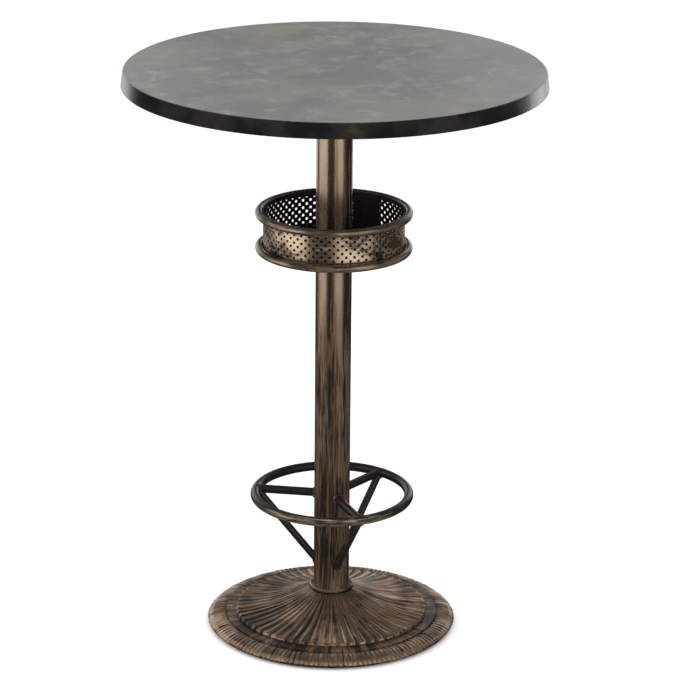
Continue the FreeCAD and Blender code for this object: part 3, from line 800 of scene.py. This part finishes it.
def camera():
    view = bpy.data.cameras.new("camera")
    view.lens = LENS
    view.sensor_width = SENSOR_WIDTH
    view.clip_end = VIEW_REACH
    item = add_object("camera", view)
    ahead = Vector((
        math.sin(CAMERA_YAW) * math.cos(CAMERA_TILT),
        math.cos(CAMERA_YAW) * math.cos(CAMERA_TILT),
        -math.sin(CAMERA_TILT)))
    level = ahead.cross(Vector((0, 0, 1))).normalized()
    upright = level.cross(ahead)
    right = level * math.cos(CAMERA_ROLL) + upright * math.sin(CAMERA_ROLL)
    up = upright * math.cos(CAMERA_ROLL) - level * math.sin(CAMERA_ROLL)
    turn = Matrix((right, up, -ahead)).transposed().to_4x4()
    item.matrix_world = Matrix.Translation((0, -CAMERA_DISTANCE, CAMERA_HEIGHT)) @ turn
    bpy.context.scene.camera = item


def soft_light(name, azimuth, distance, low, width, tall, radiance):
    """An upright light facing the column: azimuth 0 is on the camera's side, and 90 on the right."""
    turn = math.radians(azimuth)
    spot = Vector((distance * math.sin(turn), -distance * math.cos(turn), low + tall / 2))
    return area_light(name, spot, Vector((0, 0, spot.z)), width, tall, radiance)


def area_light(name, spot, aim, width, tall, radiance):
    """A flat light that shines on the object and in its gloss, but is not seen itself."""
    lamp = bpy.data.lights.new(name, "AREA")
    lamp.shape = "RECTANGLE"
    lamp.size = width
    lamp.size_y = tall
    lamp.energy = radiance * math.pi * width * tall
    item = add_object(name, lamp)
    item.location = spot
    item.rotation_euler = (aim - spot).to_track_quat("-Z", "Y").to_euler()
    item.visible_camera = False
    return item


def share_light(lamps, item, state):
    """Makes lamps shine on one item only (INCLUDE), or on all but that item (EXCLUDE)."""
    for lamp in lamps:
        group = bpy.data.collections.new(lamp.name + "_" + state.lower())
        group.objects.link(item)
        group.collection_objects[0].light_linking.link_state = state
        lamp.light_linking.receiver_collection = group


SKY_SEEN = 1.0
SKY_ON_MATT = 1.12
SKY_IN_GLOSS = 0.13


def world():
    """White to the eye, bright on matt surfaces and dim in gloss, as in a studio with dark flags."""
    made = bpy.data.worlds.new("studio")
    made.use_nodes = True
    made.node_tree.nodes.clear()
    t = Tree(made.node_tree)
    path = t.add("ShaderNodeLightPath").outputs
    strength = t.mix(path["Is Glossy Ray"], SKY_ON_MATT, SKY_IN_GLOSS)
    strength = t.mix(path["Is Camera Ray"], strength, SKY_SEEN)
    back = t.add("ShaderNodeBackground", {"Color": (1.0, 1.0, 1.0, 1), "Strength": strength})
    end = t.add("ShaderNodeOutputWorld")
    t.feed(end.inputs["Surface"], back.outputs[0])
    bpy.context.scene.world = made


FLOOR_REACH = 14.0
FLOOR_PALE = (0.92, 0.92, 0.92, 1)
FLOOR_IN_GLOSS = (0.032, 0.029, 0.026, 1)


def floor():
    """A pale floor, dark in the object's gloss, that cannot be seen from below."""
    corners = [(x * FLOOR_REACH, y * FLOOR_REACH, 0) for x, y in ((-1, -1), (1, -1), (1, 1), (-1, 1))]
    mesh = bpy.data.meshes.new("studio_floor")
    mesh.from_pydata(corners, [], [(0, 1, 2, 3)])
    made, t, surface = material("pale_floor")
    surface.inputs["Base Color"].default_value = FLOOR_PALE
    surface.inputs["Roughness"].default_value = 1.0
    surface.inputs["Specular IOR Level"].default_value = 0.0
    dark = t.add("ShaderNodeBsdfDiffuse", {"Color": FLOOR_IN_GLOSS})
    upper = t.add("ShaderNodeMixShader", {"Fac": t.add("ShaderNodeLightPath").outputs["Is Glossy Ray"]})
    t.feed(upper.inputs[1], surface.outputs[0])
    t.feed(upper.inputs[2], dark.outputs[0])
    either = t.add("ShaderNodeMixShader", {"Fac": t.add("ShaderNodeNewGeometry").outputs["Backfacing"]})
    t.feed(either.inputs[1], upper.outputs[0])
    t.feed(either.inputs[2], t.add("ShaderNodeBsdfTransparent").outputs[0])
    end = next(node for node in made.node_tree.nodes if node.type == "OUTPUT_MATERIAL")
    t.feed(end.inputs["Surface"], either.outputs[0])
    mesh.materials.append(made)
    add_object("studio_floor", mesh)


camera()
world()
floor()
bpy.context.scene.view_settings.view_transform = "Standard"
# Upright lights: name, azimuth, distance, height of the lower edge, width, height, radiance.
FRAME_LIGHTS = [
    soft_light("left_bank", -77, 1.6, 0.02, 2.05, 1.7, 1.08),
    soft_light("right_bank", 32, 1.6, 0.02, 1.65, 1.7, 0.95),
]
TOP_LIGHTS = [
    soft_light("rear_right_strip", 128, 2.2, 0.1, 0.9, 1.6, 2.6),
    soft_light("left_strip", -140, 2.2, 0.1, 0.5, 1.6, 0.6),
]
soft_light("rear_right_bank", 158, 2.4, 0.1, 1.2, 1.6, 1.24)
soft_light("rear_left_bank", -150, 2.4, 0.1, 1.8, 1.6, 1.04)
# Flat lights: name, place, aim, width, height, radiance. The second lets the hollow base be seen from below.
area_light("front_overhead", Vector((0.1, -1.3, 3.0)), Vector((0, 0, 0.3)), 1.6, 0.9, 2.2)
area_light("under_base", Vector((0, 0, 0.0006)), Vector((0, 0, 1)), 0.3, 0.3, 0.5)


# ------------------------------------------------------------------ materials

BRONZE_GROUP = brushed_bronze_group()
CAST_BRONZE = (0.31, 0.188, 0.115, 1)
CAST_PALE = (0.46, 0.31, 0.205, 1)
# The rim's pale bronze is also the colour of its painted shoulder highlight.
RIM_PALE = (0.60, 0.42, 0.285, 1)
BAND_TONE = (0.46, 0.335, 0.225, 1)
BAND_PALE = (0.74, 0.575, 0.41, 1)
BRACE_TILT = math.atan2(FOOT_RING_HEIGHT - BRACE_LOW, FOOT_RING_RADIUS - COLUMN_RADIUS)
COLUMN_BRONZE = bronze("bronze_column", across=380, up=15, patchiness=0.7, patch_rise=0.25, ochre=0.75,
                       fields={"Cover": column_cover})
HOOP_BRONZE = bronze("bronze_hoops", across=20, up=300, out=300, cover=0.49, patchiness=0.3)
FOOT_RING_BRONZE = bronze("bronze_foot_ring", across=20, up=300, out=300, cover=0.31, patchiness=0.4,
                          fields={"Wear And Highlight": front_highlight_and_wear})
BAND_BRONZE = bronze("bronze_band", across=60, up=240, patchiness=1.0, ochre=0.2, bronze=BAND_TONE,
                     pale_bronze=BAND_PALE, fields={"Cover": band_cover_shaded_inside})
# The basket's floor, hub and seam strip: black with little bronze, painted shade inside the basket.
SHADED_INSIDE_BLACK = bronze("painted_shade_inside", across=60, up=240, cover=0.22, patchiness=0.3)
DOME_BRONZE = bronze("bronze_dome", around=80, out=9, across=0, cover=0.53, patchiness=0.5,
                     crest_weight=0.24, dullness=0.12, bronze=CAST_BRONZE, pale_bronze=CAST_PALE,
                     fields={"Crest": crest_field})
RIM_BRONZE = bronze("bronze_rim", around=150, out=24, across=0, cover=0.52, patchiness=0.45,
                    crest_weight=0.22, dullness=0.12, bronze=CAST_BRONZE, pale_bronze=RIM_PALE,
                    fields={"Crest": crest_field, "Wear And Highlight": shoulder_highlight_and_wear})
CASTING_BRONZE = bronze("bronze_casting", around=110, out=30, across=0, cover=0.44, patchiness=0.45,
                        dullness=0.12, bronze=CAST_BRONZE, pale_bronze=CAST_PALE)
WELD_BRONZE = bronze("bronze_weld", across=180, up=180, cover=0.40, patchiness=0.6)
BAR_STROKES = {"stretch": 7, "across": 260, "up": 260, "cover": 0.33, "patchiness": 0.3}
SPOKE_BRONZE = []
BRACE_BRONZE = []
for number, angle in enumerate(SPOKE_ANGLES, start=1):
    turn = math.radians(angle)
    SPOKE_BRONZE.append(bronze(f"bronze_spoke_{number}", along=(0, 0, turn), **BAR_STROKES))
    BRACE_BRONZE.append(bronze(f"bronze_brace_{number}", along=(0, -BRACE_TILT, turn), **BAR_STROKES))
SLATE = slate("slate_top")
BLACK = plain_metal("black_paint", (0.012, 0.012, 0.012), (0.03, 0.03, 0.03), 0.45, 0.2)
ZINC = plain_metal("zinc_plate", (0.42, 0.42, 0.40), (0.62, 0.62, 0.60), 0.32, 1.0)
BRASS = plain_metal("turned_brass", (0.50, 0.36, 0.13), (0.66, 0.50, 0.22), 0.28, 1.0)
NYLON = plain_metal("black_nylon", (0.012, 0.012, 0.012), (0.028, 0.028, 0.028), 0.55, 0.0, 320.0)

TURNING = fluted_turning_tree()
BAND_TREE = perforated_band_tree()
BEAD_TREE = weld_bead_tree()


def repaint(node, made):
    for place in frame["nodes"][node].material_slots:
        place.material = made


for node, made in (
    ("top_inserts", BRASS),
    ("top_spider", BLACK),
    ("column_collar", HOOP_BRONZE),
    ("base_casting", CASTING_BRONZE),
    ("basket_floor", SHADED_INSIDE_BLACK),
    ("basket_hub", SHADED_INSIDE_BLACK),
    ("basket_seam_strip", SHADED_INSIDE_BLACK),
    ("basket_grub_screws", ZINC),
    ("top_screws", ZINC),
):
    repaint(node, made)
for node in frame["nodes"]:
    if "leveller_pad" in node:
        repaint(node, NYLON)
    elif "leveller_stud" in node or node.startswith("tie_rod"):
        repaint(node, ZINC)
for number, (spoke_paint, brace_paint) in enumerate(zip(SPOKE_BRONZE, BRACE_BRONZE), start=1):
    repaint(f"foot_ring_spoke_{number}", spoke_paint)
    repaint(f"foot_ring_brace_{number}", brace_paint)


# ------------------------------------------------------------------ the table top and the column

NEAR = 0.001  # extra points this near a corner keep its shading crisp


def table_top():
    edge = TOP_RADIUS - TOP_TAPER
    recess = TOP_RADIUS - TOP_LIP
    under = TOP_HIGH.z - TOP_BOARD
    shoulder = TOP_HIGH.z - TOP_ROUND
    soft_low = TOP_LOW.z + TOP_SOFT
    profile = [(0.0, TOP_HIGH.z), (edge * 0.5, TOP_HIGH.z), (edge - TOP_ROUND - NEAR, TOP_HIGH.z)]
    profile += arc((edge - TOP_ROUND, TOP_HIGH.z), (edge, shoulder), TOP_ROUND, -1, 8)
    profile += [(edge + 0.0002, shoulder - NEAR), (TOP_RADIUS - 0.0001, soft_low + NEAR)]
    profile += arc((TOP_RADIUS, soft_low), (TOP_RADIUS - TOP_SOFT, TOP_LOW.z), TOP_SOFT, -1, 4)
    profile += [(TOP_RADIUS - TOP_SOFT - NEAR, TOP_LOW.z), (recess + TOP_SOFT + NEAR, TOP_LOW.z)]
    profile += arc((recess + TOP_SOFT, TOP_LOW.z), (recess, soft_low), TOP_SOFT, -1, 4)
    profile += [(recess, under - NEAR), (recess, under), (recess - NEAR, under), (0.0, under)]
    item = turned("table_top_board", profile, SLATE, closed=False, around=256)
    return settled(item, "slate_board", "table_top")


def column():
    inside, outside = COLUMN_RADIUS - COLUMN_WALL, COLUMN_RADIUS
    low, high = COLUMN_LOW.z, COLUMN_HIGH.z
    profile = [(inside, high), (outside, high), (outside, high - NEAR), (outside, low + NEAR)]
    profile += [(outside, low), (inside, low), (inside, low + NEAR), (inside, high - NEAR)]
    item = turned("column_tube_wall", profile, COLUMN_BRONZE, around=128)
    return settled(item, "antique_bronze", "column_tube")


board = table_top()
share_light(TOP_LIGHTS, board, "INCLUDE")
share_light(FRAME_LIGHTS, board, "EXCLUDE")
column()


# ------------------------------------------------------------------ the base

def under_skin(profile, steps=3):
    """Points that lead back under a profile, one skin below it, from its end to its start."""
    inner = []
    for share in [step / steps for step in range(steps + 1)]:
        out, up = profile[round((len(profile) - 1) * (1 - share))]
        inner.append((out - SKIN * (1 - share), up - SKIN))
    return inner


# Points of the skins' profiles, just clear of the casting.
SWEEP_START = (NECK_RADIUS + 0.0005, NECK_SHOULDER + 0.001)
SWEEP_END = (DOME_RADIUS - 0.0030, DOME_EDGE)
SCALLOP_START = (DOME_RADIUS - 0.0026, DOME_EDGE)
SCALLOP_END = (DOME_RADIUS + 0.0004, STEP_HEIGHT + 0.0008)
RIM_START = (STEP_RADIUS + 0.0004, RIM_TOP + 0.0002)
RIM_WIDEST = (RIM_RADIUS, RIM_BELLY)
RIM_END = (RIM_FOOT, RIM_LIFT)


def fluted_base():
    dome = arc(SWEEP_START, SWEEP_END, DOME_SWEEP, 1, 40) + arc(SCALLOP_START, SCALLOP_END, DOME_LIP, -1, 6)
    item = turned("pleated_dome", dome + under_skin(dome, 6), DOME_BRONZE, around=812, flutes=58,
                  depth=0.0026, start_share=0.3, steep_share=0.16, crispness=1.2, wander=0.07,
                  unevenness=0.9, fine_depth=0.0026, start_radius=NECK_RADIUS, end_radius=DOME_RADIUS * 0.8)
    settled(item, "bronzed_casting")
    rim = arc(RIM_START, RIM_WIDEST, RIM_ROLL, -1, 22) + arc(RIM_WIDEST, RIM_END, RIM_TURN, -1, 10)[1:]
    item = turned("fluted_rim", rim + under_skin(rim), RIM_BRONZE, around=1232, flutes=154, depth=0.0011,
                  steep_share=0.35, crispness=0.9, wander=0.02, unevenness=1.0, fine_depth=0.0010)
    settled(item, "bronzed_casting")


fluted_base()


# ------------------------------------------------------------------ rings and basket

def rings():
    for node, radius, bar, finish in (
        ("foot_ring", FOOT_RING_RADIUS, FOOT_RING_BAR, FOOT_RING_BRONZE),
        ("basket_top_ring", BASKET_RADIUS, BASKET_BAR, HOOP_BRONZE),
        ("basket_bottom_ring", BASKET_RADIUS, BASKET_BAR, HOOP_BRONZE),
    ):
        item = bar_ring(node + "_bar", radius, bar, mid_height(node), finish)
        settled(item, "antique_bronze", node)


HOLE_SPREAD = 0.62  # evens out the points of a hole, since its cell is wider than high


def pierced_cell(pitch):
    """One flat cell of the sheet, with a round hole in its middle."""
    half_x, half_y = pitch / 2, ROW_PITCH / 2
    steps = [(-half_x + pitch * i / CELL_STEPS) for i in range(CELL_STEPS + 1)]
    border = [(x, -half_y) for x in steps] + [(half_x, 0.0)]
    border += [(x, half_y) for x in reversed(steps)] + [(-half_x, 0.0)]
    count = len(border)
    turns = [math.atan2(y, x * HOLE_SPREAD) for x, y in border]
    hole = [(HOLE_RADIUS * math.cos(turn), HOLE_RADIUS * math.sin(turn)) for turn in turns]
    mesh = bpy.data.meshes.new("pierced_cell")
    faces = [(i, (i + 1) % count, count + (i + 1) % count, count + i) for i in range(count)]
    mesh.from_pydata([(x, y, 0.0) for x, y in border + hole], [], faces)
    return add_object("pierced_cell", mesh)


def perforated_band():
    pitch = TURN * BAND_RADIUS / HOLE_COLUMNS
    inputs = {
        "Columns": HOLE_COLUMNS, "Rows": HOLE_ROWS, "Pitch": pitch, "Row Pitch": ROW_PITCH,
        "Radius": BAND_RADIUS, "Bottom": BAND_LOW.z, "Top": BAND_HIGH.z,
        "Middle": (BAND_LOW.z + BAND_HIGH.z) / 2, "Material": BAND_BRONZE}
    item = grown(pierced_cell(pitch), BAND_TREE, inputs, "perforated_band")
    settled(thickened(item, BAND_SHEET), "antique_bronze", "basket_band")


rings()
perforated_band()


# ------------------------------------------------------------------ weld beads

def column_side(point):
    return math.hypot(point.x, point.y) - COLUMN_RADIUS


def foot_ring_side(point):
    from_bar = math.hypot(math.hypot(point.x, point.y) - FOOT_RING_RADIUS, point.z - FOOT_RING_HEIGHT)
    return from_bar - FOOT_RING_BAR


def spoke_direction(angle):
    turn = math.radians(angle)
    return Vector((math.cos(turn), math.sin(turn), 0))


def brace_top_side(point):
    """Distance to the foot ring or to the nearest spoke, whichever is less."""
    best = foot_ring_side(point)
    rise = point - Vector((0, 0, FOOT_RING_HEIGHT))
    for out in [spoke_direction(angle) for angle in SPOKE_ANGLES]:
        along = rise.dot(out)
        if along > 0:
            best = min(best, (rise - out * along).length - SPOKE_BAR)
    return best


MEETING_TRIES = 60
MEETING_GAP = 1e-6
MEETING_STEP = 0.7  # share of the gap to go at a time


def meeting(start, step, side):
    """Where a line from a point outside a surface first meets it."""
    reach = 0.0
    for _ in range(MEETING_TRIES):
        gap = side(start + step * reach)
        if abs(gap) < MEETING_GAP:
            break
        reach += gap * MEETING_STEP
    return start + step * reach


BEAD_POINTS = 28
BEAD_LUMPS = 0.9
SPOKE_BEAD = 0.0024
BRACE_BEAD = 0.0026


def weld_round(name, origin, along, bar, side, bead):
    """A bead where a round bar, running along a line from origin, meets a surface."""
    along = along.normalized()
    across = along.orthogonal().normalized()
    other = along.cross(across)
    points = []
    for index in range(BEAD_POINTS):
        turn = TURN * index / BEAD_POINTS
        edge = origin + (across * math.cos(turn) + other * math.sin(turn)) * bar
        points.append(tuple(meeting(edge, along, side)))
    host = line_curve(name + "_path", points, closed=True)
    inputs = {"Radius": bead, "Lumps": bead * BEAD_LUMPS, "Material": WELD_BRONZE}
    settled(grown(host, BEAD_TREE, inputs, name), "antique_bronze")


def foot_ring_welds():
    level = Vector((0, 0, FOOT_RING_HEIGHT))
    for number, out in enumerate([spoke_direction(angle) for angle in SPOKE_ANGLES], start=1):
        middle = out * (FOOT_RING_RADIUS + COLUMN_RADIUS) / 2 + level
        high = out * FOOT_RING_RADIUS + level
        low = out * COLUMN_RADIUS + Vector((0, 0, BRACE_LOW))
        half_way = (high + low) / 2
        for joint, origin, along, bar, side, bead in (
            ("spoke_column", middle, -out, SPOKE_BAR, column_side, SPOKE_BEAD),
            ("spoke_ring", middle, out, SPOKE_BAR, foot_ring_side, SPOKE_BEAD),
            ("brace_column", half_way, low - high, BRACE_BAR, column_side, BRACE_BEAD),
            ("brace_ring", half_way, high - low, BRACE_BAR, brace_top_side, BRACE_BEAD),
        ):
            weld_round(f"weld_{joint}_{number}", origin, along, bar, side, bead)


foot_ring_welds()
